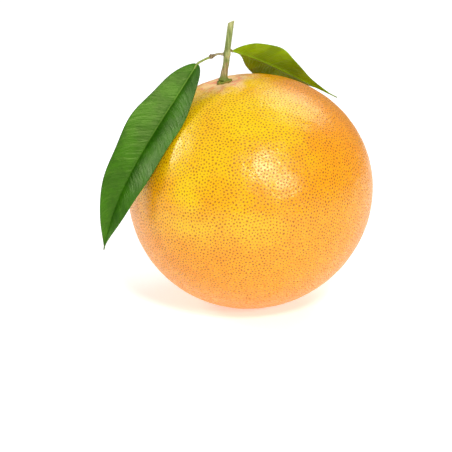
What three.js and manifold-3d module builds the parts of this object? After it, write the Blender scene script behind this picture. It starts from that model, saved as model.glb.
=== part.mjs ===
// A fresh grapefruit as picked: the fruit, a short piece of its twig and two of its leaves.
//
// Millimetres, +Z up. The fruit rests on a small flat on its skin, and the origin is on that
// flat, straight below the fruit's centre. The stem end points up and leans towards -X.
// One leaf hangs in front of the fruit's left shoulder, the other lies over its back.

import * as THREE from 'three';
import Module from 'manifold-3d';
import { LoftGeometry } from 'three/addons/geometries/LoftGeometry.js';
import { mergeVertices } from 'three/addons/utils/BufferGeometryUtils.js';

const { degToRad, lerp, smoothstep } = THREE.MathUtils;
const vector = (x, y, z) => new THREE.Vector3(x, y, z);

// ---- driving dimensions ----

const GAP = 0.3; // left between pieces that touch

const FRUIT = {
  equatorRadius: 55,
  poleRadius: 52.6,
  centreHeight: 51.8, // 0.9 less than the fruit reaches down, which makes the resting flat
  leanSideways: degToRad(13),
  leanForward: degToRad(1.5),
  cavityDepth: 1.6, // the hollow that the stem sits in
  cavityRadius: 7,
  furrowDepth: 0.4, // creases that run out of the hollow
  furrowReach: 11,
  furrows: 7,
  blossomDepth: 0.8, // the dimple at the far end from the stem
  blossomRadius: 5,
  swelling: 0.35, // how far the skin strays from a true ellipsoid
  around: 56,
  along: 40,
};

const CALYX = {
  radius: 3.15,
  lobes: 5,
  lobeHeight: 0.3,
  thickness: 1.3,
  rise: 0.3, // its underside is dished to follow the hollow
  rimDrop: 0.55,
  around: 30,
  along: 8,
};

const TWIG = {
  path: [
    vector(-11.95, -1.4, 103.5),
    vector(-12, -1.4, 104.3),
    vector(-11.5, -1.4, 106.8),
    vector(-10.7, -1.4, 110.5),
    vector(-10.4, -1.4, 114.2),
    vector(-9.6, -1.4, 120.5),
    vector(-8.6, -1.4, 128.3),
  ],
  radii: [[0, 1.65], [0.13, 1.38], [0.36, 1.38], [0.44, 1.6], [0.52, 1.36], [1, 1.34]],
  cutSlope: 0.6, // the top end is cut on a slant
  stations: 18,
  sides: 12,
};

const SIDE_SHOOT = {
  path: [
    vector(-12.4, -1.95, 114.2),
    vector(-14, -2.75, 114.4),
    vector(-15.4, -3.3, 114.2),
    vector(-17, -3.95, 113.5),
    vector(-18, -4.2, 113.1),
  ],
  radii: [[0, 0.5], [0.3, 0.42], [0.55, 0.5], [0.78, 1], [0.9, 0.85], [1, 0.55]],
  stations: 14,
  sides: 10,
};

const LEFT_PETIOLE = {
  path: [
    vector(-18.4, -4.3, 112.95),
    vector(-19.9, -4.65, 112.4),
    vector(-21.6, -5.1, 111.6),
    vector(-22.85, -5.45, 110.9),
  ],
  radii: [[0, 0.6], [0.3, 0.48], [1, 0.52]],
  stations: 8,
  sides: 10,
};

const RIGHT_PETIOLE = {
  path: [vector(-9.3, 0.15, 115.9), vector(-8.85, 0.75, 115.55), vector(-8.4, 1.35, 115.15)],
  radii: [[0, 0.62], [1, 0.55]],
  stations: 4,
  sides: 10,
};

const BLADE = {
  thickness: 0.5,
  marginThickness: 0.22,
  endHalfWidth: 0.4,
  start: 0.012, // where along the midrib the blade begins and ends
  end: 0.985,
  stations: 24,
  stepsPerHalf: 5,
};

// Each half of a blade has its own width, outline, fold and ripple. `near` lies on the side
// that `across` points to and `far` on the other, and both fold towards the blade's face.
const LEFT_LEAF = {
  midrib: [
    vector(-23.2, -5.6, 110.6),
    vector(-38.5, -19.5, 87.2),
    vector(-58, -33.5, 65.2),
    vector(-64, -28, 32.5),
  ],
  acrossAtBase: vector(0.8, -0.43, -0.42),
  acrossAtTip: vector(0.84, -0.36, -0.42),
  tipPower: 12,
  near: { width: 14.2, shoulder: 0.8, point: 0.75, fold: 33, ripple: 0.7, waves: 2.2, phase: 0.6 },
  far: { width: 11.9, shoulder: 0.8, point: 0.75, fold: 26, ripple: 0.6, waves: 2.4, phase: 2 },
};

const RIGHT_LEAF = {
  midrib: [
    vector(-8.2, 1.6, 115),
    vector(2.9, 15.9, 110.3),
    vector(21.4, 44.2, 95.7),
    vector(40.7, 24.1, 89.6),
  ],
  acrossAtBase: vector(0.24, -0.65, 0.7),
  acrossAtTip: vector(0.24, -0.65, 0.7),
  tipPower: 5,
  near: { width: 11.2, shoulder: 0.66, point: 1, fold: 2, ripple: 0.4, waves: 2, phase: 0 },
  far: { width: 11, shoulder: 0.95, point: 2.6, fold: -7, ripple: 0.4, waves: 2, phase: 1 },
};

// ---- finishes ----

const finish = (color, roughness) => new THREE.MeshStandardMaterial({ color, roughness, metalness: 0 });
const PEEL = finish(0xf6b02c, 0.45);
const CALYX_GREEN = finish(0x8f8f2e, 0.7);
const TWIG_BARK = finish(0x8f995b, 0.7);
const SHOOT_BARK = finish(0x9d936e, 0.8);
const LEAF_TOP = finish(0x4c8a24, 0.4);
const LEAF_UNDER = finish(0x7e8b0c, 0.55);

// ---- shared shapes ----

// A closed skin from a sphere's grid of points, each moved to surface(round, down), where
// round goes once around from 0 to 1 and down goes from the top pole at 0 to the bottom at 1.
function skin(around, along, surface) {
  const geometry = new THREE.SphereGeometry(1, around, along);
  const position = geometry.getAttribute('position');
  for (let row = 0; row <= along; row++) {
    for (let column = 0; column <= around; column++) {
      const point = surface((column % around) / around, row / along);
      position.setXYZ(row * (around + 1) + column, point.x, point.y, point.z);
    }
  }
  geometry.computeVertexNormals();
  return geometry;
}

// The radius at u along a path, from a few [u, radius] stops joined smoothly.
function radiusAt(stops, u) {
  const next = Math.max(1, stops.findIndex(([place]) => place >= u));
  const [fromPlace, fromRadius] = stops[next - 1];
  const [toPlace, toRadius] = stops[next];
  return lerp(fromRadius, toRadius, smoothstep(u, fromPlace, toPlace));
}

// A round stalk along a path, its far end cut square or on a slant.
function stalk({ path, radii, stations, sides, cutSlope = 0 }) {
  const curve = new THREE.CatmullRomCurve3(path);
  const { tangents, normals, binormals } = curve.computeFrenetFrames(stations);
  const rings = tangents.map((tangent, station) => {
    const u = station / stations;
    const centre = curve.getPointAt(u);
    return Array.from({ length: sides }, (_, side) => {
      const angle = (2 * Math.PI * side) / sides;
      const spoke = vector(0, 0, 0)
        .addScaledVector(normals[station], Math.cos(angle))
        .addScaledVector(binormals[station], Math.sin(angle))
        .multiplyScalar(radiusAt(radii, u));
      const slant = station === stations ? cutSlope * spoke.x : 0;
      return centre.clone().add(spoke).addScaledVector(tangent, slant);
    });
  });
  return new LoftGeometry(rings, { closed: true, capStart: true, capEnd: true });
}

// ---- fruit ----

// How far the skin stands above the ellipsoid, for a direction out of the fruit's centre.
function relief({ x, y, z }) {
  const fromAxis = FRUIT.equatorRadius * Math.hypot(x, y);
  const bell = (radius) => Math.exp(-((fromAxis / radius) ** 2));
  const swelling = FRUIT.swelling * ((x * x - y * y) * z + x * x * x - 3 * x * y * y);
  if (z < 0) {
    return swelling - FRUIT.blossomDepth * bell(FRUIT.blossomRadius);
  }
  const crease = 0.5 + 0.5 * Math.cos(FRUIT.furrows * Math.atan2(y, x) + 2 * x);
  const furrow = FRUIT.furrowDepth * crease * (bell(FRUIT.furrowReach) - bell(CALYX.radius));
  return swelling - FRUIT.cavityDepth * bell(FRUIT.cavityRadius) - furrow;
}

function fruitPoint(round, down) {
  const tilt = Math.PI * down ** 1.25; // rows lie closer together around the stem
  const turn = 2 * Math.PI * round;
  const across = Math.sin(tilt);
  const direction = vector(across * Math.cos(turn), across * Math.sin(turn), Math.cos(tilt));
  const ellipsoid = vector(FRUIT.equatorRadius, FRUIT.equatorRadius, FRUIT.poleRadius);
  return direction.clone().multiply(ellipsoid).addScaledVector(direction, relief(direction));
}

function toSolid(wasm, geometry) {
  geometry.deleteAttribute('normal');
  geometry.deleteAttribute('uv');
  const merged = mergeVertices(geometry, 1e-4);
  return new wasm.Manifold(new wasm.Mesh({
    numProp: 3,
    vertProperties: merged.getAttribute('position').array,
    triVerts: new Uint32Array(merged.index.array),
  }));
}

function toGeometry(solid) {
  const mesh = solid.getMesh();
  const geometry = new THREE.BufferGeometry();
  geometry.setAttribute('position', new THREE.BufferAttribute(mesh.vertProperties, 3));
  geometry.setIndex(new THREE.BufferAttribute(mesh.triVerts, 1));
  geometry.computeVertexNormals();
  return geometry;
}

// The fruit leans, and everything below the surface that it rests on is cut away.
function fruitGeometry(wasm, leaning) {
  const peel = skin(FRUIT.around, FRUIT.along, fruitPoint).applyMatrix4(leaning.matrix);
  const below = new THREE.BoxGeometry(100, 100, 20).translate(0, 0, -10);
  return toGeometry(toSolid(wasm, peel).subtract(toSolid(wasm, below)));
}

// ---- calyx ----

// A low five-lobed button on the fruit's axis. Its rows run up and over from the middle of the
// top to the rim at half way, then back under to the middle of the dished underside.
function calyxPoint(round, down) {
  const turn = 2 * Math.PI * round;
  const lobe = CALYX.lobeHeight * Math.cos(CALYX.lobes * turn);
  const share = Math.sin(Math.PI * down);
  const reach = (CALYX.radius + lobe) * share;
  const seat = FRUIT.poleRadius - FRUIT.cavityDepth + GAP + CALYX.rise * share ** 2;
  const over = CALYX.thickness - CALYX.rimDrop * share ** 4 - CALYX.rise * share ** 2;
  const height = down < 0.5 ? seat + over : seat;
  return vector(reach * Math.cos(turn), reach * Math.sin(turn), height);
}

// ---- leaves ----

function bladeSection(leaf, midrib, t) {
  const middle = midrib.getPoint(t);
  const along = midrib.getTangent(t);
  const across = leaf.acrossAtBase.clone().lerp(leaf.acrossAtTip, t);
  const side = across.projectOnPlane(along).normalize();
  const face = along.clone().cross(side);

  const pointAt = (s, skinSide) => {
    const half = s < 0 ? leaf.far : leaf.near;
    const outline = Math.sin(Math.PI * t ** half.shoulder) ** half.point * (1 - t ** leaf.tipPower);
    const reach = Math.max(BLADE.endHalfWidth, half.width * outline) * s;
    const fold = degToRad(half.fold);
    const wave = Math.sin(2 * Math.PI * half.waves * t + half.phase);
    const ripple = half.ripple * s * s * Math.sin(Math.PI * t) * wave;
    const thickness = lerp(BLADE.thickness, BLADE.marginThickness, Math.abs(s));
    return middle.clone()
      .addScaledVector(side, reach * Math.cos(fold))
      .addScaledVector(face, Math.abs(reach) * Math.sin(fold) + ripple + (skinSide * thickness) / 2);
  };

  const steps = Array.from({ length: 2 * BLADE.stepsPerHalf + 1 }, (_, i) => 1 - i / BLADE.stepsPerHalf);
  const upper = steps.map((s) => pointAt(s, 1));
  const lower = steps.map((s) => pointAt(-s, -1));
  return [...upper, ...lower];
}

function bladeGeometry(leaf) {
  const midrib = new THREE.CubicBezierCurve3(...leaf.midrib);
  const sections = Array.from({ length: BLADE.stations + 1 }, (_, station) =>
    bladeSection(leaf, midrib, lerp(BLADE.start, BLADE.end, station / BLADE.stations)));
  return new LoftGeometry(sections, { closed: true, capStart: true, capEnd: true });
}

// ---- assembly ----

const wasm = await Module();
wasm.setup();

function named(name, geometry, material) {
  const mesh = new THREE.Mesh(geometry, material);
  mesh.name = name;
  return mesh;
}

// The fruit's own axes: its stem end is +Z here, and the calyx sits on it.
const leaning = new THREE.Group();
leaning.position.z = FRUIT.centreHeight;
leaning.rotation.set(FRUIT.leanForward, -FRUIT.leanSideways, 0);
leaning.updateMatrix();
leaning.add(named('calyx', skin(CALYX.around, CALYX.along, calyxPoint), CALYX_GREEN));

const group = new THREE.Group();
group.add(
  named('fruit', fruitGeometry(wasm, leaning), PEEL),
  leaning,
  named('twig', stalk(TWIG), TWIG_BARK),
  named('side_shoot', stalk(SIDE_SHOOT), SHOOT_BARK),
  named('left_petiole', stalk(LEFT_PETIOLE), TWIG_BARK),
  named('left_leaf', bladeGeometry(LEFT_LEAF), LEAF_TOP),
  named('right_petiole', stalk(RIGHT_PETIOLE), SHOOT_BARK),
  named('right_leaf', bladeGeometry(RIGHT_LEAF), LEAF_UNDER),
);

export default group;
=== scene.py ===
# %% [markdown]
# # A fresh grapefruit on its twig
#
# This lesson gives a packed grapefruit its looks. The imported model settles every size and
# place: the fruit, its calyx, a short cut twig, two leaf stalks and two leaves. Here each of
# those plain solids is replaced by a finer skin that keeps the same shape, and each skin
# gets a finish made only of nodes. All lengths are worked out in millimetres, as in the
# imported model's source, and turned into metres when a mesh is made.

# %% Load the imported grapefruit
from math import cos, pi, radians, sin, sqrt

import bmesh
import bpy
import numpy as np
from mathutils import Matrix, Vector, noise
from mathutils.kdtree import KDTree


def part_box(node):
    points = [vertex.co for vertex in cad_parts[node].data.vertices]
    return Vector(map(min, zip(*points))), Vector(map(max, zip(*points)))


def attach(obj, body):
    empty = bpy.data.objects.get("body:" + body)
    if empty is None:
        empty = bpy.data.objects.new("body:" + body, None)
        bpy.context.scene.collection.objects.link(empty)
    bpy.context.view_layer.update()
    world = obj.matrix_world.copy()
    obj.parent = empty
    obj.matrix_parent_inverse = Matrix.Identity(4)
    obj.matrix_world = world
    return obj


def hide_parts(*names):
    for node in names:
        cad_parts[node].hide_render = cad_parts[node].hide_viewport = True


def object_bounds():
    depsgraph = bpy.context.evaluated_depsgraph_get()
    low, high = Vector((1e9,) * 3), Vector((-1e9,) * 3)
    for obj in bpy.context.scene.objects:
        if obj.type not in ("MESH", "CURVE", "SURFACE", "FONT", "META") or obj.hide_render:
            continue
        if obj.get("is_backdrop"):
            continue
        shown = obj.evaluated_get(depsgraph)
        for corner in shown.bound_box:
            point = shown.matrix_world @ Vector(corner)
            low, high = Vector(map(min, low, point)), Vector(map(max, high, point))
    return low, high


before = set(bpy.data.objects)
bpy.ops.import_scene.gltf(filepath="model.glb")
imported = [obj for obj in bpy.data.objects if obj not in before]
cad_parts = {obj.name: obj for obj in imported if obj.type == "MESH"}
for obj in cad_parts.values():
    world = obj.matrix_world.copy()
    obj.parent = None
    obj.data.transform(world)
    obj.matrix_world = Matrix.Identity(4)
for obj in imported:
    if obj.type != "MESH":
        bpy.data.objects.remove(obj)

MM = 0.001
cad_box = [list(corner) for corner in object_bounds()]
print("pieces in the packed model:", ", ".join(sorted(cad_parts)))

# %% [markdown]
# ## The camera
#
# A product photographer works from a few fruit-widths away with a long lens, so that the
# fruit doesn't bulge. The camera looks down by 17 degrees. It isn't aimed at the fruit's
# centre but a little to the left of it and below it, which leaves room for the shadow.
# It comes first, so that every later cell can be judged through it.

# %% Place the camera
LOOK_DOWN = radians(17)
VIEW_DISTANCE = 600
AIM_LEFT = 10.8
AIM_BELOW = 15.8
LENS = 105.9

fruit_low, fruit_high = [np.array(corner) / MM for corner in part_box("fruit")]
EQUATOR = (fruit_high[1] - fruit_low[1]) / 2
POLE = 0.956 * EQUATOR
LEAN_SIDEWAYS = radians(13)
LEAN_FORWARD = radians(1.5)
half_height = sqrt((EQUATOR * sin(LEAN_SIDEWAYS)) ** 2 + (POLE * cos(LEAN_SIDEWAYS)) ** 2)
CENTRE = np.array([0, 0, fruit_high[2] - half_height])

screen_up = np.array([0, sin(LOOK_DOWN), cos(LOOK_DOWN)])
towards_viewer = np.array([0, -cos(LOOK_DOWN), sin(LOOK_DOWN)])
camera_place = CENTRE + VIEW_DISTANCE * towards_viewer - AIM_BELOW * screen_up - [AIM_LEFT, 0, 0]

camera = bpy.data.objects.new("camera", bpy.data.cameras.new("camera"))
camera.data.lens = LENS
camera.data.clip_start = 0.01
camera.location = camera_place * MM
camera.rotation_euler = (pi / 2 - LOOK_DOWN, 0, 0)
bpy.context.scene.collection.objects.link(camera)
bpy.context.scene.camera = camera
print("fruit centre, mm:", CENTRE.round(1), "camera, mm:", camera_place.round(1))

# %% [markdown]
# ## Writing finishes as arithmetic
#
# A finish is a graph of nodes. Wiring each Math node by hand hides the idea, so a small
# class wraps a socket and lets ordinary arithmetic add the Math nodes: `1 - mask` or
# `0.6 - 0.25 * upper` reads as it would on paper. Colours never pass through a Math node,
# which would turn them grey. They are blended by a Mix node instead. Every other node comes
# from one method, `make`, which sets the node's settings first and its sockets after.

# %% Wrap a socket
class Wire:
    """A socket in a finish. Arithmetic on it adds Math nodes to the same finish."""

    def __init__(self, tree, socket=None):
        self.tree = tree
        self.socket = socket

    def make(self, kind, settings, sockets, output):
        """Add a node of this kind, set it up, feed its sockets and return one output."""
        node = self.tree.nodes.new("ShaderNode" + kind)
        for name, value in settings.items():
            setattr(node, name, value)
        for name, value in sockets.items():
            socket = self.pick(node.inputs, name)
            if isinstance(value, Wire):
                self.tree.links.new(value.socket, socket)
            else:
                socket.default_value = value
        return Wire(self.tree, self.pick(node.outputs, output))

    @staticmethod
    def pick(sockets, name):
        if isinstance(name, int):
            return sockets[name]
        return next(socket for socket in sockets if socket.name == name and socket.enabled)

    def math(self, operation, first, second):
        return self.make("Math", {"operation": operation}, {0: first, 1: second}, "Value")

    def __add__(self, other):
        return self.math("ADD", self, other)

    def __sub__(self, other):
        return self.math("SUBTRACT", self, other)

    def __rsub__(self, other):
        return self.math("SUBTRACT", other, self)

    def __mul__(self, other):
        return self.math("MULTIPLY", self, other)

    __radd__ = __add__
    __rmul__ = __mul__

    def between(self, low, high):
        """0 below low, 1 above high and a smooth step from one to the other."""
        settings = {"interpolation_type": "SMOOTHSTEP", "clamp": True}
        sockets = {"Value": self, "From Min": low, "From Max": high}
        return self.make("MapRange", settings, sockets, "Result")

    def paint(self, below, above):
        """A colour or link where this wire is 0, blended to another where it is 1."""
        sockets = {"Factor": self, "A": below, "B": above}
        return self.make("Mix", {"data_type": "RGBA"}, sockets, "Result")


def color(red, green, blue):
    """A screen colour of 0 to 255 a channel, as the linear light that nodes work in."""
    screen = np.array([red, green, blue]) / 255
    linear = np.where(screen <= 0.04045, screen / 12.92, ((screen + 0.055) / 1.055) ** 2.4)
    return (*linear.tolist(), 1.0)


print("an orange of 245, 150, 13 is", [round(value, 3) for value in color(245, 150, 13)])

# %% [markdown]
# Every finish starts the same way: a new material, its Principled shader, and the object's
# own coordinates, which stay put on the skin however it is turned. `speckle` reads a Noise
# texture by the size of its grain in millimetres, which is easier to judge against a fruit
# than a scale number. `stored` reads a value that a later cell keeps on each point.

# %% Start a finish
class Finish:
    """A material with one Principled shader, and the textures that its colours come from."""

    def __init__(self, name, **even):
        self.material = bpy.data.materials.new(name)
        self.material.use_nodes = True
        tree = self.material.node_tree
        self.shader = tree.nodes["Principled BSDF"]
        for socket, value in even.items():
            self.shader.inputs[socket.replace("_", " ")].default_value = value
        self.start = Wire(tree)
        self.place = self.start.make("TexCoord", {}, {}, "Object")

    def speckle(self, grain, detail=3.0, stretch=None, at=None):
        """Noise from about 0.3 to 0.7, with blots of `grain` millimetres."""
        at = at or self.place
        if stretch:
            settings = {"operation": "MULTIPLY"}
            at = self.start.make("VectorMath", settings, {0: at, 1: stretch}, "Vector")
        sockets = {"Vector": at, "Scale": 1 / (grain * MM), "Detail": detail}
        return self.start.make("TexNoise", {}, sockets, "Fac")

    def stored(self, name):
        return self.start.make("Attribute", {"attribute_name": name}, {}, "Fac")

    def feed(self, **wires):
        for socket, wire in wires.items():
            self.start.tree.links.new(wire.socket, self.shader.inputs[socket.replace("_", " ")])

    def bump(self, height, depth):
        """Fine relief of `depth` millimetres, added by shading alone."""
        sockets = {"Height": height, "Distance": depth * MM, "Strength": 1.0}
        self.feed(Normal=self.start.make("Bump", {}, sockets, "Normal"))


print("finishes can now be written as arithmetic")

# %% [markdown]
# ## The shape of the fruit
#
# A grapefruit isn't a ball. It is a little wider than it is tall, its stem sits in a shallow
# hollow with creases running out of it, and there is a dimple at the far end. Sculpting
# could give that by hand, but a formula over directions from the centre is exact, repeats
# each time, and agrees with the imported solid. `relief` says how far the skin stands above
# an ellipsoid, for many directions at once.

# %% Describe the skin as a formula
CAVITY_DEPTH, CAVITY_RADIUS = 1.6, 7.0
FURROW_DEPTH, FURROW_REACH, FURROWS = 0.4, 11.0, 7
BLOSSOM_DEPTH, BLOSSOM_RADIUS = 0.8, 5.0
SWELLING = 0.35
CALYX_RADIUS = 3.15


def bell(distance, radius):
    return np.exp(-((distance / radius) ** 2))


def relief(directions):
    x, y, z = directions.T
    from_axis = EQUATOR * np.hypot(x, y)
    swelling = SWELLING * ((x * x - y * y) * z + x ** 3 - 3 * x * y * y)
    crease = 0.5 + 0.5 * np.cos(FURROWS * np.arctan2(y, x) + 2 * x)
    furrow = FURROW_DEPTH * crease * (bell(from_axis, FURROW_REACH) - bell(from_axis, CALYX_RADIUS))
    stem_end = CAVITY_DEPTH * bell(from_axis, CAVITY_RADIUS) + furrow
    blossom_end = BLOSSOM_DEPTH * bell(from_axis, BLOSSOM_RADIUS)
    return swelling - np.where(z < 0, blossom_end, stem_end)


lean = np.array(Matrix.Rotation(LEAN_FORWARD, 3, "X") @ Matrix.Rotation(-LEAN_SIDEWAYS, 3, "Y"))


def set_leaning(points):
    """Points in the fruit's own frame, stem end up, moved to where the fruit rests."""
    return points @ lean.T + CENTRE


print("stem axis:", (lean @ [0, 0, 1]).round(3))

# %% [markdown]
# ## A scatter of oil pits
#
# The rind is covered in tiny oil glands, each a dark dot in a pit about 1.5 mm from the next.
# They keep an even distance but never fall in rows. A texture could only paint them, and
# a Voronoi bump wouldn't be in the mesh. So the mesh itself is built around them. The pits
# start as a shaken spiral of points, and each then steps away from its close neighbours a
# few times, which evens them out as growth does. Stretching a convex hull over points on a
# ball joins each to its nearest neighbours with no folds.

# %% Scatter the pits and join them
PIT_COUNT = 19000
SHAKE = 0.55
GROWTH_STEPS = 4
NEIGHBOURS = 4
PUSH = 0.3
ELBOW_ROOM = 1.05

random = np.random.default_rng(11)
spacing = sqrt(4 * pi / PIT_COUNT * 2 / sqrt(3))
level = 1 - (2 * np.arange(PIT_COUNT) + 1) / PIT_COUNT
golden_turn = np.arange(PIT_COUNT) * pi * (3 - sqrt(5))
reach = np.sqrt(1 - level ** 2)
pits = np.column_stack([reach * np.cos(golden_turn), reach * np.sin(golden_turn), level])
pits += random.uniform(-SHAKE, SHAKE, pits.shape) * spacing
for step in range(GROWTH_STEPS):
    pits /= np.linalg.norm(pits, axis=1, keepdims=True)
    tree = KDTree(PIT_COUNT)
    for index, place in enumerate(pits.tolist()):
        tree.insert(place, index)
    tree.balance()
    pushed = pits.copy()
    for index, place in enumerate(pits.tolist()):
        for other, _, gap in tree.find_n(place, NEIGHBOURS + 1)[1:]:
            push = PUSH * max(0, ELBOW_ROOM * spacing - gap) / gap
            pushed[index] += (pits[index] - other) * push
    pits = pushed
pits /= np.linalg.norm(pits, axis=1, keepdims=True)

ball = bmesh.new()
for place in pits.tolist():
    ball.verts.new(place)
bmesh.ops.convex_hull(ball, input=ball.verts[:], use_existing_faces=False)
print(len(ball.verts), "pits,", round(spacing * EQUATOR, 2), "mm apart,", len(ball.faces), "faces")

# %% [markdown]
# Each triangle between three pits is now cut in four, which puts one new point half-way
# along every edge. The pits will be sunk and the half-way points raised, so every pit is a
# small round hollow, in a mesh that stays as coarse as it can be.

# %% Put a ridge between the pits
bmesh.ops.subdivide_edges(ball, edges=ball.edges[:], cuts=1, use_grid_fill=True)
ball.verts.ensure_lookup_table()
ball.verts.index_update()
placed = np.array([point.co[:] for point in ball.verts])
placed /= np.linalg.norm(placed, axis=1, keepdims=True)
pit_size = random.uniform(0.55, 1.0, PIT_COUNT)
is_ridge = np.arange(len(placed)) >= PIT_COUNT
print(len(placed), "points,", int(is_ridge.sum()), "of them between pits")

# %% [markdown]
# Each direction now gets its height: the ellipsoid, the relief, an uneven pebbling a few
# millimetres across, and the pits. Near the stem the rind is rougher and its pits are
# closed up, so the pits fade there and a coarser wrinkle takes over. Where the fruit rests,
# its skin is pressed flat against the surface.

# %% Work out the height of each point
PIT_DEPTH = 0.15
PILLOW_RISE = 0.04
STEM_ZONE_RADIUS = 14
PRESS = 0.2


def clouds(directions, count, seed):
    """Smooth unevenness from -1 to 1, with about `count` lumps across the fruit."""
    shift = Vector((seed, 2 * seed, 3 * seed))
    return np.array([noise.noise(Vector(row) * count + shift) for row in directions.tolist()])


x, y, z = placed.T
from_axis = EQUATOR * np.hypot(x, y)
stem_near = np.where(z > 0, bell(from_axis, STEM_ZONE_RADIUS), 0)
in_pit = np.zeros(len(placed))
in_pit[:PIT_COUNT] = pit_size * (1 - 0.8 * stem_near[:PIT_COUNT])
pillow = np.where(is_ridge, PILLOW_RISE, 0) * (1 - stem_near)

height = relief(placed) + pillow - PIT_DEPTH * in_pit
height += 0.1 * clouds(placed, 9, 1) + 0.06 * clouds(placed, 22, 2)
height += 0.28 * stem_near * clouds(placed, 26, 3)

skin = placed * [EQUATOR, EQUATOR, POLE] + placed * height[:, None]
skin = set_leaning(skin)
skin[:, 2] = (skin[:, 2] + np.sqrt(skin[:, 2] ** 2 + PRESS ** 2)) / 2
print("lowest point", skin[:, 2].min().round(3), "mm")

# %% [markdown]
# The mesh takes the new places. Along with them it keeps three values on every point for
# the finish to read: how deep in a pit it is, how close to the stem, and how far it faces
# the side that the sun ripened to yellow.

# %% Raise the skin and keep its values
# The side that faces the main lights: the rind is painted yellower there, as painted light.
LIT_YELLOW_SIDE = np.array([-0.37, -0.64, 0.68])

fruit_mesh = bpy.data.meshes.new("fruit_skin")
ball.to_mesh(fruit_mesh)
ball.free()
fruit_mesh.vertices.foreach_set("co", (skin * MM).ravel())
fruit_mesh.shade_smooth()


def keep_value(mesh, name, values):
    """Keep one number on every point of a mesh, under a name that a finish can read."""
    layer = mesh.attributes.new(name, "FLOAT", "POINT")
    layer.data.foreach_set("value", np.asarray(values, dtype=np.float32))


# How far each point faces the lit side, kept for the painted light in the rind's finish.
lit_yellow_side = (skin - CENTRE) @ LIT_YELLOW_SIDE / EQUATOR
keep_value(fruit_mesh, "pit", in_pit)
keep_value(fruit_mesh, "stem_near", stem_near)
keep_value(fruit_mesh, "lit_yellow", np.clip(lit_yellow_side, 0, 1))
print("fruit skin:", len(fruit_mesh.polygons), "faces")

# %% [markdown]
# ## The rind's finish
#
# Ripe rind runs from clear yellow to warm orange, in soft clouds with no edge. The yellow is
# partly painted light: it is strongest on the side that faces the main lights, and away from
# them the rind is painted a deeper orange as painted shade. Round the stem it turns to a dull
# peach with pink blots. The dots are the glands' own colour, browner and darker than the skin,
# and they are painted darker still away from the main lights, as painted shade. Light goes a
# little way into the wax and pith before it comes back, so the shader scatters it under the
# surface. The wax gives a bright, slightly warm gleam, which the pits break up.

# %% Finish the rind
YELLOW = color(247, 202, 4)
ORANGE = color(244, 160, 0)
DEEP_ORANGE = color(240, 132, 0)
PEACH = color(255, 210, 150)
PINK = color(250, 160, 124)
GLAND = color(146, 80, 0)

rind = Finish("rind", Subsurface_Weight=0.06, Subsurface_Scale=1.0, Specular_IOR_Level=0.75)
rind.shader.inputs["Specular Tint"].default_value = color(255, 240, 205)
rind.shader.inputs["Subsurface Radius"].default_value = (2.2 * MM, 1.0 * MM, 0.3 * MM)
clouded = rind.speckle(30, 2).between(0.3, 0.7)
mottled = rind.speckle(5, 4).between(0.3, 0.7)
# Painted light: yellow where the rind faces the main lights, moved about by random clouds of the
# rind's own tone. The deeper orange away from the lights is painted shade, mixed with random
# mottling.
lit_yellow = (rind.stored("lit_yellow") + 0.3 * clouded - 0.15).between(0.52, 1.0)
skin_color = lit_yellow.paint(ORANGE, YELLOW)
skin_color = ((0.1 + 0.3 * mottled) * (1 - lit_yellow)).paint(skin_color, DEEP_ORANGE)
stem_zone = (rind.stored("stem_near") + 0.3 * mottled - 0.15).between(0.1, 0.75)
blotted = rind.speckle(4, 3).between(0.5, 0.62)
skin_color = (0.9 * stem_zone).paint(skin_color, blotted.paint(PEACH, PINK))
# The gland dots are painted darker away from the main lights and fainter towards them, as painted
# shade.
gland = rind.stored("pit").between(0.14, 0.6)
rind.feed(
    Base_Color=((0.92 - 0.2 * lit_yellow) * gland).paint(skin_color, GLAND),
    Roughness=0.25 + 0.06 * mottled + 0.15 * gland + 0.2 * stem_zone,
)
rind.bump(rind.speckle(0.7, 3), 0.08)

fruit = bpy.data.objects.new("fruit_skin", fruit_mesh)
fruit_mesh.materials.append(rind.material)
bpy.context.scene.collection.objects.link(fruit)
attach(fruit, "root")
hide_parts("fruit")
print("rind finished with", len(rind.material.node_tree.nodes), "nodes")

# %% [markdown]
# ## One skin for everything that grew by lengths
#
# The twig, the stalks, the calyx and the leaves can all be built the same way: a row of
# closed rings, one after another, joined into a skin and closed at both ends. Curves with a
# bevel would do for the twig alone. Rings of points do for all of them, and let each ring
# have its own outline: round, ribbed, five-lobed, or thin as a leaf. The skin keeps any
# values given with the rings, so a finish can tell a cut end from bark or a vein from blade.

# %% Join rings into a skin
def ring_skin(name, rings, values, finish, node):
    """A closed skin over rings (ring, point, xyz) in millimetres, standing for a CAD node."""
    count, around, _ = rings.shape
    ends = [rings[0].mean(axis=0), rings[-1].mean(axis=0)]
    points = np.vstack([rings.reshape(-1, 3), ends]) * MM
    first_end, last_end = count * around, count * around + 1
    last_ring = (count - 1) * around
    faces = []
    for i in range(around):
        j = (i + 1) % around
        faces.append((j, i, first_end))
        faces.append((last_ring + i, last_ring + j, last_end))
        for ring in range(0, last_ring, around):
            faces.append((ring + i, ring + j, ring + around + j, ring + around + i))
    mesh = bpy.data.meshes.new(name)
    mesh.from_pydata(points.tolist(), [], faces)
    mesh.shade_smooth()
    for key, value in values.items():
        value = np.broadcast_to(value, (count, around))
        keep_value(mesh, key, [*value.ravel(), value[0].mean(), value[-1].mean()])
    mesh.materials.append(finish.material)
    piece = bpy.data.objects.new(name, mesh)
    bpy.context.scene.collection.objects.link(piece)
    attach(piece, "root")
    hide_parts(node)
    print(name, "has", len(mesh.polygons), "faces")
    return piece


# %% [markdown]
# A stalk follows a smooth line through a few points. Its rings must not twist along the way,
# so each ring's spokes are the last ring's spokes, squared up to the new direction.

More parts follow.
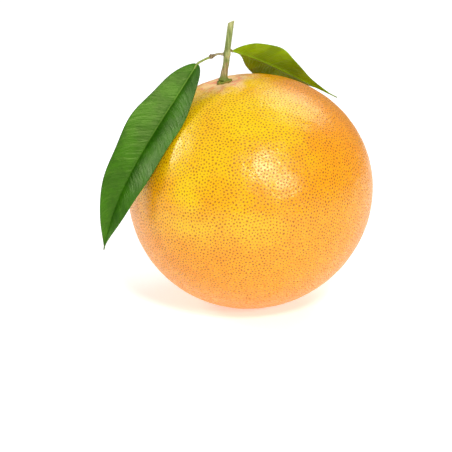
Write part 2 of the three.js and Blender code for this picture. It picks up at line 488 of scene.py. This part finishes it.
# %% Follow a line with rings
def smooth_line(points, count):
    """Even steps along a smooth line through the points, and the direction at each."""
    points = np.array(points, dtype=float)
    padded = np.vstack([2 * points[0] - points[1], points, 2 * points[-1] - points[-2]])
    steps = np.linspace(0, 1, 40, endpoint=False)[:, None]
    dense = []
    for before, start, end, after in zip(padded, padded[1:], padded[2:], padded[3:]):
        curve = (2 * before - 5 * start + 4 * end - after) * steps ** 2
        curve += (3 * start - before - 3 * end + after) * steps ** 3
        dense.append((2 * start + (end - before) * steps + curve) / 2)
    dense = np.vstack([*dense, points[-1:]])
    lengths = np.r_[0, np.cumsum(np.linalg.norm(np.diff(dense, axis=0), axis=1))]
    wanted = np.linspace(0, lengths[-1], count)
    line = np.column_stack([np.interp(wanted, lengths, dense[:, axis]) for axis in range(3)])
    ahead = np.gradient(line, axis=0)
    return line, ahead / np.linalg.norm(ahead, axis=1, keepdims=True)


def graded(stops, places):
    """Radii at the places, from a few (place, radius) stops joined smoothly."""
    stop_places, radii = np.array(stops).T
    found = np.clip(np.searchsorted(stop_places, places) - 1, 0, len(stops) - 2)
    share = (places - stop_places[found]) / (stop_places[found + 1] - stop_places[found])
    share = np.clip(share, 0, 1)
    share = share * share * (3 - 2 * share)
    return radii[found] + (radii[found + 1] - radii[found]) * share


def stalk_rings(path, stops, outline, count=90, around=40):
    """Rings along a path; outline(place, angle) swells or ribs each one by a factor."""
    line, ahead = smooth_line(path, count)
    places = np.linspace(0, 1, count)
    angles = np.linspace(0, 2 * pi, around, endpoint=False)
    radii = graded(stops, places)
    spoke = np.cross(ahead[0], [0.3, 1, 0.2])
    rings = []
    for place, middle, forward, radius in zip(places, line, ahead, radii):
        spoke = spoke - forward * (spoke @ forward)
        spoke /= np.linalg.norm(spoke)
        other = np.cross(forward, spoke)
        reach = radius * outline(place, angles)
        across = np.outer(reach * np.cos(angles), spoke)
        rings.append(middle + across + np.outer(reach * np.sin(angles), other))
    return np.array(rings), ahead


def unevenness(rings, grain, seed):
    """Smooth lumps of about `grain` millimetres over some rings, from -1 to 1."""
    shift = Vector((seed, 0, -seed))
    flat = [noise.noise(Vector(point) / grain + shift) for point in rings.reshape(-1, 3).tolist()]
    return np.array(flat).reshape(rings.shape[:2])


print("rings can follow any line")

# %% [markdown]
# ## The twig
#
# The twig is young wood: green, ribbed along its length, and swollen at the node where the
# side shoot and the leaf leave it. Secateurs cut its top on a slant, which shows a paler ring
# of wood round the pith. The cut is made of smaller and smaller rings on one slanted plane,
# so its edge stays crisp. The foot flares out where it joins the calyx.

# %% Build the twig
TWIG_PATH = [
    (-11.8, -1.4, 102.7),
    (-11.75, -1.4, 104.3),
    (-11.4, -1.4, 106.8),
    (-10.7, -1.4, 110.5),
    (-10.4, -1.4, 114.2),
    (-9.6, -1.4, 120.5),
    (-8.6, -1.4, 128.2),
]
TWIG_RADII = [
    (0, 2.3),
    (0.07, 1.62),
    (0.2, 1.36),
    (0.38, 1.36),
    (0.445, 1.62),
    (0.53, 1.34),
    (1, 1.32),
]
CUT_SLOPE = 0.6
CUT_REACH = 3
CUT_RINGS = (0.97, 0.8, 0.55, 0.3, 0.1)
PITH_DEPTH = 0.12
BARK_ROUGHNESS = 0.035


def ribbed(place, angles):
    ribs = 0.045 * np.cos(5 * angles + 0.6) + 0.02 * np.cos(11 * angles + 2 * place)
    return 1 + ribs * min(1, 8 * place)


twig_rings, twig_ahead = stalk_rings(TWIG_PATH, TWIG_RADII, ribbed, 130, 48)
top = twig_rings[-1].mean(axis=0)
end_direction = twig_ahead[-1]
slant = CUT_SLOPE * (twig_rings[:, :, 0] - twig_rings.mean(axis=1)[:, None, 0])
near_top = np.clip(1 - (top[2] - twig_rings[:, :, 2].mean(axis=1)) / CUT_REACH, 0, 1)
twig_rings += (slant * near_top[:, None])[:, :, None] * end_direction
rim = twig_rings[-1]
cut_rings = np.array([top + (rim - top) * share for share in CUT_RINGS])
cut_rings[3:] -= PITH_DEPTH * end_direction
twig_all = np.vstack([twig_rings, cut_rings])
outward = twig_all - twig_all.mean(axis=1, keepdims=True)
twig_all += outward * (BARK_ROUGHNESS * unevenness(twig_all, 1.6, 5))[:, :, None]
cut_face = np.r_[np.zeros(len(twig_rings)), np.ones(len(cut_rings))][:, None]
climb = np.clip((twig_all[:, :, 2] - 103) / 25, 0, 1)
print("twig:", twig_all.shape[0], "rings of", twig_all.shape[1], "points")

# %% [markdown]
# The bark's colour follows how far up the twig a point is, kept as `climb`: brown and dry
# low down, paler where the shoots leave, and green above. The streaks are a noise squeezed
# across the twig and drawn out along it, which is how bark fibres run.

# %% Finish the twig
twig_finish = Finish("twig_bark", Specular_IOR_Level=0.35)
streaks = twig_finish.speckle(0.8, 3, stretch=(1, 1, 0.08)).between(0.35, 0.65)
blots = twig_finish.speckle(2.5, 3).between(0.4, 0.6)
up = twig_finish.stored("climb")
green_bark = streaks.paint(color(96, 112, 44), color(148, 160, 92))
brown_bark = streaks.paint(color(128, 104, 62), color(176, 160, 110))
pale_bark = streaks.paint(color(176, 176, 110), color(206, 200, 140))
bark = (1 - (up + 0.25 * blots).between(0.25, 0.62)).paint(green_bark, brown_bark)
bark = (1 - up.between(0.0, 0.14)).paint(bark, color(112, 126, 40))
at_node = up.between(0.33, 0.4) * (1 - up.between(0.47, 0.56))
bark = (0.7 * at_node * streaks).paint(bark, pale_bark)
bark = (0.6 * up.between(0.8, 1.0)).paint(bark, pale_bark)
cut_wood = twig_finish.speckle(0.5, 2).paint(color(206, 202, 150), color(226, 222, 178))
twig_finish.feed(
    Base_Color=twig_finish.stored("cut").paint(bark, cut_wood),
    Roughness=0.5 + 0.2 * streaks,
)
twig_finish.bump(streaks, 0.1)
ring_skin("twig_stem", twig_all, {"cut": cut_face, "climb": climb}, twig_finish, "twig")

# %% [markdown]
# ## The calyx
#
# The calyx is the flower's old green cup, left as a small five-lobed button between the twig
# and the rind. Its rings start under the twig, run out over the lobes, turn down at the rim
# and sink just into the rind, so no gap shows. The lobes are thin at their tips and stand
# up unevenly, as dry sepals do.

# %% Build and finish the calyx
CALYX_STOPS = [
    (0.0, 1.9),
    (0.35, 1.7),
    (0.7, 1.25),
    (0.9, 0.95),
    (1.0, 0.75),
    (1.02, 0.35),
    (0.9, -0.3),
    (0.3, -0.5),
]
LOBES = 5
BUTTON_RADIUS = 2.75
LOBE_LENGTH = 0.85
angles = np.linspace(0, 2 * pi, 120, endpoint=False)
seat = POLE - CAVITY_DEPTH
lobes = 0.5 + 0.5 * np.cos(LOBES * angles + 0.5 * np.sin(2 * angles))
calyx_rings = []
for share, lift in CALYX_STOPS:
    reach = share * (BUTTON_RADIUS + LOBE_LENGTH * lobes ** 0.7)
    droop = lift + 0.25 * share ** 2 * lobes
    ring = np.column_stack([reach * np.cos(angles), reach * np.sin(angles), seat + droop])
    calyx_rings.append(ring)
calyx_rings[0][:, :2] = 0.2 * np.column_stack([np.cos(angles), np.sin(angles)])


def rounder(rings, steps):
    """More rings between the given ones, on smooth lines through them."""
    return np.stack([smooth_line(rings[:, i], steps)[0] for i in range(rings.shape[1])], axis=1)


calyx_rings = rounder(np.array(calyx_rings), 48)[::-1]
calyx_rings[:, :, 2] += 0.08 * unevenness(calyx_rings, 0.9, 8)
calyx_reach = np.hypot(calyx_rings[:, :, 0], calyx_rings[:, :, 1]) / (BUTTON_RADIUS + LOBE_LENGTH)
calyx_rings = set_leaning(calyx_rings.reshape(-1, 3)).reshape(calyx_rings.shape)

calyx_finish = Finish("calyx_green", Specular_IOR_Level=0.35)
tips = (calyx_finish.stored("reach") + 0.3 * calyx_finish.speckle(0.8)).between(0.85, 1.15)
fresh = calyx_finish.speckle(0.7, 3).between(0.35, 0.65)
fresh = fresh.paint(color(92, 112, 20), color(150, 158, 52))
calyx_finish.feed(
    Base_Color=(0.7 * tips).paint(fresh, color(132, 112, 48)),
    Roughness=0.5 + 0.2 * tips,
)
calyx_finish.bump(calyx_finish.speckle(0.4), 0.1)
ring_skin("calyx_button", calyx_rings, {"reach": calyx_reach}, calyx_finish, "calyx")

# %% [markdown]
# ## The side shoot and the leaf stalks
#
# The left leaf doesn't grow from the twig itself but from a thin, dry side shoot, which ends
# in a knob: the joint where an old leaf or flower dropped. Beyond it the green stalk of the
# leaf runs on and widens into the blade. The right leaf has only a stub of a stalk. All
# three are stalks like the twig, run on a little into what they join.

# %% Describe the stalks
SHOOT_PATH = [
    (-11.2, -1.6, 114.1),
    (-12.4, -1.95, 114.2),
    (-14.0, -2.75, 114.4),
    (-15.4, -3.3, 114.2),
    (-17.0, -3.95, 113.5),
    (-18.2, -4.2, 113.0),
]
SHOOT_RADII = [
    (0, 0.95),
    (0.15, 0.6),
    (0.4, 0.44),
    (0.6, 0.5),
    (0.74, 0.72),
    (0.82, 1.02),
    (0.93, 0.85),
    (1, 0.5),
]
LEFT_STALK_PATH = [
    (-17.8, -4.15, 113.15),
    (-18.6, -4.35, 112.9),
    (-19.9, -4.65, 112.4),
    (-21.6, -5.1, 111.6),
    (-23.2, -5.6, 110.6),
    (-24.6, -6.85, 108.5),
]
LEFT_STALK_RADII = [(0, 0.55), (0.25, 0.46), (0.6, 0.5), (0.8, 0.56), (1, 0.3)]
RIGHT_STALK_PATH = [
    (-9.7, -0.5, 116.3),
    (-9.3, 0.15, 115.95),
    (-8.6, 1.1, 115.3),
    (-7.4, 2.7, 114.5),
]
RIGHT_STALK_RADII = [(0, 0.85), (0.4, 0.6), (0.8, 0.58), (1, 0.35)]
STALK_RINGS = 90

print("three stalks of", STALK_RINGS, "rings each")

# %% [markdown]
# The outlines are what tells them apart. A dry shoot is knotted, with lumps that wind round
# it, and a fresh leaf stalk has a shallow channel along one side.

# %% Build and finish the side shoot
def knotted(place, angles):
    return 1 + 0.1 * np.cos(3 * angles + 9 * place) + 0.06 * np.cos(5 * angles - 14 * place)


shoot_finish = Finish("shoot_bark", Specular_IOR_Level=0.3)
dry = shoot_finish.speckle(0.7, 3).between(0.35, 0.65)
knob = shoot_finish.stored("knob")
shoot_color = dry.paint(color(120, 108, 72), color(172, 164, 124))
shoot_color = (knob * 0.8).paint(shoot_color, dry.paint(color(86, 68, 44), color(140, 118, 82)))
shoot_finish.feed(Base_Color=shoot_color, Roughness=0.6 + 0.2 * dry)
shoot_finish.bump(shoot_finish.speckle(0.3), 0.08)

shoot_rings, _ = stalk_rings(SHOOT_PATH, SHOOT_RADII, knotted, STALK_RINGS, 36)
shoot_middles = shoot_rings.mean(axis=1, keepdims=True)
shoot_rings += (shoot_rings - shoot_middles) * (0.25 * unevenness(shoot_rings, 0.8, 3))[:, :, None]
at_knob = np.clip((np.linspace(0, 1, STALK_RINGS) - 0.62) / 0.12, 0, 1)[:, None]
shoot_values = {"knob": at_knob}
ring_skin("side_shoot_bark", shoot_rings, shoot_values, shoot_finish, "side_shoot")

# %% [markdown]
# Both leaf stalks share one finish. It turns from dry brown to green along the stalk. The
# right stalk is only a stub, so it starts browner and ends before it is fully green.

# %% Build and finish the leaf stalks
def channelled(place, angles):
    from_channel = np.angle(np.exp(1j * (angles - 1.2)))
    return 1 - 0.12 * np.exp(-((from_channel / 0.5) ** 2))


stalk_finish = Finish("leaf_stalk", Specular_IOR_Level=0.4, Subsurface_Weight=0.1)
stalk_finish.shader.inputs["Subsurface Radius"].default_value = (0.6 * MM, 0.8 * MM, 0.2 * MM)
along_stalk = stalk_finish.stored("along")
young = stalk_finish.speckle(1.2, 2).between(0.35, 0.65)
stalk_color = young.paint(color(122, 140, 52), color(164, 176, 92))
stalk_color = (1 - along_stalk.between(0.1, 0.45)).paint(stalk_color, color(124, 96, 50))
stalk_finish.feed(Base_Color=stalk_color, Roughness=0.42 + 0.15 * young)

along = np.linspace(0, 1, STALK_RINGS)[:, None]
rings, _ = stalk_rings(LEFT_STALK_PATH, LEFT_STALK_RADII, channelled, STALK_RINGS, 32)
ring_skin("left_stalk", rings, {"along": 0.3 + along}, stalk_finish, "left_petiole")
rings, _ = stalk_rings(RIGHT_STALK_PATH, RIGHT_STALK_RADII, channelled, STALK_RINGS, 32)
ring_skin("right_stalk", rings, {"along": along * 0.6}, stalk_finish, "right_petiole")

# %% [markdown]
# ## The leaves
#
# A citrus leaf is a stiff, leathery blade, folded along its midrib like an open book, with a
# rippled margin and a drawn-out tip. Flat cards with a picture of a leaf are the quick way,
# but a thick blade with veins in its mesh catches the light from every side. Each blade is a
# row of thin rings across a curved midrib. A ring runs over the upper skin from one margin
# to the other and comes back along the lower skin. The two halves have their own widths,
# folds and ripples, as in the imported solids.
#
# The midrib and side veins are pressed into the upper skin and stand out below it. A side
# vein leaves the midrib at a slant and bends forward to the margin, so its place is found
# from a number that counts veins: the distance along the midrib less a slant that grows
# towards the margin.

# %% Describe a blade
BLADE_STATIONS = 250
BLADE_STEPS = 30
BLADE_THICKNESS = 0.42
MARGIN_THICKNESS = 0.14
MIDRIB_WIDTH = 0.55
VEIN_WIDTH = 0.07
MARGIN_WAVER = 0.03
WAVERS = 3.4

LEFT_LEAF = {
    "midrib": [(-23.2, -5.6, 110.6), (-38.5, -19.5, 87.2), (-58, -33.5, 65.2), (-64, -28, 32.5)],
    "across": [(0.8, -0.43, -0.42), (0.84, -0.36, -0.42)],
    "tip_power": 12,
    "near": {
        "width": 14.2, "shoulder": 0.8, "point": 0.75, "fold": 33,
        "ripple": 0.7, "waves": 2.2, "phase": 0.6,
    },
    "far": {
        "width": 11.9, "shoulder": 0.8, "point": 0.75, "fold": 26,
        "ripple": 0.6, "waves": 2.4, "phase": 2,
    },
    "upper": 1,
    "veins": 15,
}
RIGHT_LEAF = {
    "midrib": [(-8.2, 1.6, 115), (2.9, 15.9, 110.3), (21.4, 44.2, 95.7), (40.7, 24.1, 89.6)],
    "across": [(0.24, -0.65, 0.7), (0.24, -0.65, 0.7)],
    "tip_power": 5,
    "near": {
        "width": 11.2, "shoulder": 0.66, "point": 1, "fold": 2,
        "ripple": 0.4, "waves": 2, "phase": 0,
    },
    "far": {
        "width": 11, "shoulder": 0.95, "point": 2.6, "fold": -7,
        "ripple": 0.4, "waves": 2, "phase": 1,
    },
    "upper": -1,
    "veins": 12,
}


def unit_rows(rows):
    return rows / np.linalg.norm(rows, axis=-1, keepdims=True)


def midrib_frames(leaf, t):
    """Points on the midrib, the sideways direction and the face's direction at each."""
    a, b, c, d = [np.array(point, dtype=float) for point in leaf["midrib"]]
    t = t[:, None]
    points = (1 - t) ** 3 * a + 3 * (1 - t) ** 2 * t * b + 3 * (1 - t) * t * t * c + t ** 3 * d
    ahead = (1 - t) ** 2 * (b - a) + 2 * (1 - t) * t * (c - b) + t * t * (d - c)
    ahead = unit_rows(ahead)
    base, tip = np.array(leaf["across"])
    across = (1 - t) * base + t * tip
    across = unit_rows(across - ahead * (across * ahead).sum(axis=1, keepdims=True))
    return points, across, np.cross(ahead, across)


def half_outline(leaf, half, t):
    shape = np.sin(pi * t ** half["shoulder"]) ** half["point"] * (1 - t ** leaf["tip_power"])
    shape *= 1 + MARGIN_WAVER * np.sin(2 * pi * WAVERS * t + 3 * half["phase"])
    return half["width"] * np.maximum(shape, 0.025)


print("a blade has", BLADE_STATIONS * (4 * BLADE_STEPS + 2), "points")

# %% [markdown]
# `blade` builds both skins of a leaf at once. A value of `s` runs from -1 at the far margin,
# through 0 at the midrib, to 1 at the near margin. The stations crowd together at both ends,
# where the outline turns fastest.

# %% Build a blade
def blade(leaf):
    """Rings of a blade, and the values that its finish reads."""
    t = 0.004 + 0.99 * (0.5 - 0.5 * np.cos(pi * np.linspace(0, 1, BLADE_STATIONS))) ** 0.94
    points, across, face = midrib_frames(leaf, t)
    s = np.linspace(1, -1, 2 * BLADE_STEPS + 1)
    s = np.sign(s) * np.abs(s) ** 1.15
    skins = []
    values = {"upper": [], "vein": [], "rib": [], "count": []}
    for skin_side in (1, -1):
        over = np.ones_like(t)[:, None] * s
        along = t[:, None] * np.ones_like(s)
        halves = [(leaf["near"], over >= 0), (leaf["far"], over < 0)]
        reach, rise = np.zeros_like(over), np.zeros_like(over)
        for half, mine in halves:
            width = half_outline(leaf, half, t)[:, None] * over
            wave = np.sin(2 * pi * half["waves"] * along + half["phase"])
            ripple = half["ripple"] * over ** 2 * np.sin(pi * along) * wave
            fold = radians(half["fold"])
            reach += np.where(mine, width * cos(fold), 0)
            rise += np.where(mine, np.abs(width) * sin(fold) + ripple, 0)
        size = np.abs(reach)
        upper = skin_side * leaf["upper"] > 0
        rib = np.exp(-((size / MIDRIB_WIDTH) ** 2)) * (1 - 0.6 * along)
        drift = 0.055 * np.abs(over) ** 0.8 + 0.03 * np.abs(over) ** 3
        offset = np.where(over < 0, 0.45, 0.0)
        count = leaf["veins"] * (along - drift) + offset + 0.25 * np.sin(7 * along + offset)
        from_vein = np.abs(count - np.round(count))
        inside = np.clip(size / 1.2, 0, 1) * np.clip((1 - np.abs(over)) / 0.15, 0, 1)
        vein = np.exp(-((from_vein / VEIN_WIDTH) ** 2)) * inside * np.clip(along / 0.06, 0, 1)
        quilt = 0.03 * (np.cos(2 * pi * (count - 0.5)) * 0.5 + 0.5) * inside
        thickness = BLADE_THICKNESS + (MARGIN_THICKNESS - BLADE_THICKNESS) * np.abs(over) ** 2
        if upper:
            relief_up = quilt - 0.04 * vein - 0.16 * rib
        else:
            relief_up = 0.08 * vein + 0.42 * rib - 0.5 * quilt
        lift = rise + skin_side * (thickness / 2 + relief_up)
        rows = points[:, None] + reach[:, :, None] * across[:, None]
        rows = rows + lift[:, :, None] * face[:, None]
        order = slice(None) if skin_side == 1 else slice(None, None, -1)
        skins.append(rows[:, order])
        for key, value in (("upper", 1.0 * upper), ("vein", vein), ("rib", rib), ("count", count)):
            values[key].append(np.broadcast_to(value, over.shape)[:, order])
    rings = np.concatenate(skins, axis=1)
    kept = {key: np.concatenate(value, axis=1) for key, value in values.items()}
    kept["over"] = np.concatenate([over, over[:, ::-1]], axis=1)
    return rings, kept


left_blade, left_values = blade(LEFT_LEAF)
right_blade, right_values = blade(RIGHT_LEAF)
LEFT_FACING = [-0.13, -0.79, 0.56]
RIGHT_FACING = [0.48, -0.55, -0.68]
lumps = 0.25 * unevenness(left_blade, 14, 4) + 0.08 * unevenness(left_blade, 5, 6)
left_blade += lumps[:, :, None] * LEFT_FACING
lumps = 0.25 * unevenness(right_blade, 12, 9) + 0.08 * unevenness(right_blade, 5, 7)
right_blade += lumps[:, :, None] * RIGHT_FACING
print("left leaf:", left_blade.shape, "right leaf:", right_blade.shape)

# %% [markdown]
# ## The leaves' finish
#
# One leaf has two faces. The upper one is dark, waxy and glossy, with a thin pale midrib. The
# lower one is a duller olive that lets some light through. The kept value `upper` chooses
# between them. Between the side veins there is a net of far finer ones. It would take too
# many faces to build, so it is bump only: a noise stretched along the side veins, by
# feeding it the vein number and the distance from the midrib in place of a position.

# %% Finish the leaves
def leaf_finish(name, tops, unders, rib_colors):
    leaf = Finish(name, Specular_IOR_Level=0.55, Subsurface_Weight=0.1)
    leaf.shader.inputs["Specular Tint"].default_value = color(226, 255, 150)
    leaf.shader.inputs["Subsurface Radius"].default_value = (0.5 * MM, 0.9 * MM, 0.15 * MM)
    upper = leaf.stored("upper")
    vein = leaf.stored("vein")
    rib = leaf.stored("rib")
    sockets = {"X": leaf.stored("count"), "Y": leaf.stored("over"), "Z": upper}
    net = leaf.start.make("CombineXYZ", {}, sockets, "Vector")
    fine = leaf.speckle(1000, 4, stretch=(5.0, 1.6, 1.0), at=net).between(0.3, 0.7)
    patchy = leaf.speckle(9, 3).between(0.38, 0.62)
    top = patchy.paint(*tops)
    top = (0.22 * fine).paint(top, tops[1])
    top = (0.1 * vein + 0.85 * rib.between(0.5, 0.95)).paint(top, rib_colors[0])
    under = patchy.paint(*unders)
    under = (0.3 * vein + 0.35 * rib.between(0.3, 0.7)).paint(under, rib_colors[1])
    leaf.feed(
        Base_Color=upper.paint(under, top),
        Roughness=0.5 - 0.16 * upper + 0.1 * fine,
    )
    leaf.bump(fine + 0.3 * leaf.speckle(0.5), 0.1)
    return leaf


left_finish = leaf_finish(
    "front_leaf",
    (color(34, 84, 0), color(50, 106, 0)),
    (color(112, 132, 44), color(132, 150, 62)),
    (color(112, 152, 56), color(160, 170, 90)),
)
# The back leaf shows its lower face with light shining through it. Its colours are painted paler and
# yellower than the front leaf's: part of that is the lower face's own paler tone, and part is
# painted light shining through the blade.
right_glow_finish = leaf_finish(
    "back_leaf_painted_glow",
    (color(62, 92, 6), color(92, 116, 10)),
    (color(120, 156, 0), color(142, 182, 2)),
    (color(150, 170, 60), color(134, 164, 10)),
)
ring_skin("left_leaf_blade", left_blade, left_values, left_finish, "left_leaf")
ring_skin("right_leaf_blade", right_blade, right_values, right_glow_finish, "right_leaf")

# %% [markdown]
# ## The table and the light
#
# The setting is a white sweep of card that the eye shouldn't notice. A large pale disc with
# a white sky round it does that, and bounces light up under the fruit as a real sweep does.
# The card glows faintly as well, so that it stays white where the light falls off.

# %% Lay the table
TABLE_RADIUS = 1500
TABLE_CORNERS = 96

turns = np.linspace(0, 2 * pi, TABLE_CORNERS, endpoint=False)
edge = np.column_stack([np.cos(turns), np.sin(turns), 0 * turns]) * TABLE_RADIUS * MM
table_mesh = bpy.data.meshes.new("table")
table_mesh.from_pydata(edge.tolist(), [], [tuple(range(TABLE_CORNERS))])
table = bpy.data.objects.new("table", table_mesh)
table.location.z = cad_box[0][2]
card = Finish("white_card", Roughness=0.8, Specular_IOR_Level=0.2, Emission_Strength=0.45)
card.shader.inputs["Emission Color"].default_value = (1, 1, 1, 1)
card.feed(Base_Color=card.speckle(60, 2).paint(color(244, 244, 243), color(250, 250, 250)))
table_mesh.materials.append(card.material)
bpy.context.scene.collection.objects.link(table)
table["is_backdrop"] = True
print("table laid at", round(table.location.z / MM, 2), "mm")

# %% [markdown]
# ## The light
#
# Four round soft boxes shape the fruit, all 1.5 m away. A main one stands high in front and
# a smaller one lower to its right. Their two gleams run together on the upper front of the
# rind, and the lower one also gives the left leaf its sheen. One to the left draws a bright
# edge beside the leaf. A wide one above and behind lights the stem end and the top. A point
# light would give hard little glints, and a sky alone would give none.
#
# The sky is white to the camera but dimmer as a light, so the background stays clean while
# the boxes still model the shape. The camera test is on the world alone, never on a finish.

# %% Hang the lights
LIGHT_DISTANCE = 1500
SKY_LIGHT = 0.32


def soft_box(name, direction, size, watts):
    """A round area light that looks at the fruit's centre, `size` millimetres wide."""
    light = bpy.data.lights.new(name, "AREA")
    light.shape = "DISK"
    light.size = size * MM
    light.energy = watts
    box = bpy.data.objects.new(name, light)
    away = Vector(direction).normalized()
    box.location = Vector(CENTRE * MM) + away * LIGHT_DISTANCE * MM
    box.rotation_euler = away.to_track_quat("Z", "Y").to_euler()
    box.visible_camera = False
    bpy.context.scene.collection.objects.link(box)


soft_box("main_light", (0.19, -0.73, 0.655), 280, 9.9)
soft_box("front_light", (0.48, -0.78, 0.39), 240, 5.8)
soft_box("left_light", (-0.85, 0.2, 0.5), 530, 6.4)
soft_box("back_light", (0.45, 0.5, 0.85), 1050, 7.4)

world = bpy.data.worlds.new("white_sky")
bpy.context.scene.world = world
world.use_nodes = True
sky = Wire(world.node_tree)
seen = sky.make("LightPath", {}, {}, "Is Camera Ray")
background = world.node_tree.nodes["Background"]
background.inputs["Color"].default_value = (1, 1, 1, 1)
world.node_tree.links.new((SKY_LIGHT + (1 - SKY_LIGHT) * seen).socket, background.inputs["Strength"])
bpy.context.scene.view_settings.view_transform = "Standard"

# %% [markdown]
# ## Measure and finish
#
# The skins must not outgrow the imported model. How far the box after lies from the box before
# is printed for each side of each axis.

# %% Compare the sizes and finish
visual_box = [list(corner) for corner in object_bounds()]
for axis, letter in enumerate("XYZ"):
    grown = [visual_box[side][axis] - cad_box[side][axis] for side in (0, 1)]
    print(letter, "grew by", [round(value / MM, 2) for value in grown], "mm")
